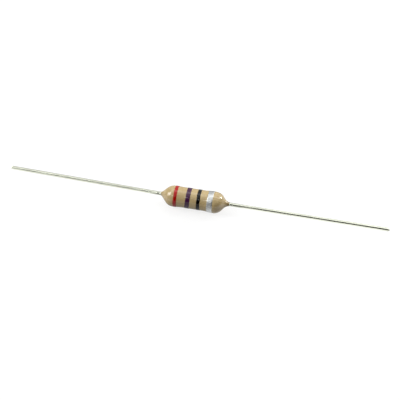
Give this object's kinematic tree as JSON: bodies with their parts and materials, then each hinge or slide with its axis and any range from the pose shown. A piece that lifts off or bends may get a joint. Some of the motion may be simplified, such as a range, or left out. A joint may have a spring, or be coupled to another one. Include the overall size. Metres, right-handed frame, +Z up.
{
  "type": "axial inductor",
  "caption": "Axial-leaded inductor: a wound ferrite drum core dipped in tan epoxy, with a straight tinned lead at each end and red, violet, black and silver colour bands.",
  "frame": {"origin": "middle of the core, on its axis", "axes": "+X along the axis towards the silver tolerance band, +Z up"},
  "size_m": [0.064, 0.0036, 0.0036],
  "materials": {
    "epoxy": "glossy dipped epoxy",
    "ferrite": "ground grey-black ferrite",
    "enamelled_copper": "clear enamelled copper wire",
    "tinned_wire": "satin tin plate",
    "adhesive": "cured adhesive",
    "solder": "bright solder",
    "red_paint": "gloss paint",
    "violet_paint": "gloss paint",
    "black_paint": "gloss paint",
    "silver_paint": "metallic silver paint"
  },
  "bodies": {
    "root": {"coating": "epoxy", "drum_core": "ferrite", "winding": "enamelled_copper", "left_lead": "tinned_wire", "right_lead": "tinned_wire", "left_adhesive": "adhesive", "right_adhesive": "adhesive", "left_solder": "solder", "right_solder": "solder", "first_digit_band": "red_paint", "second_digit_band": "violet_paint", "multiplier_band": "black_paint", "tolerance_band": "silver_paint"}
  },
  "joints": []
}
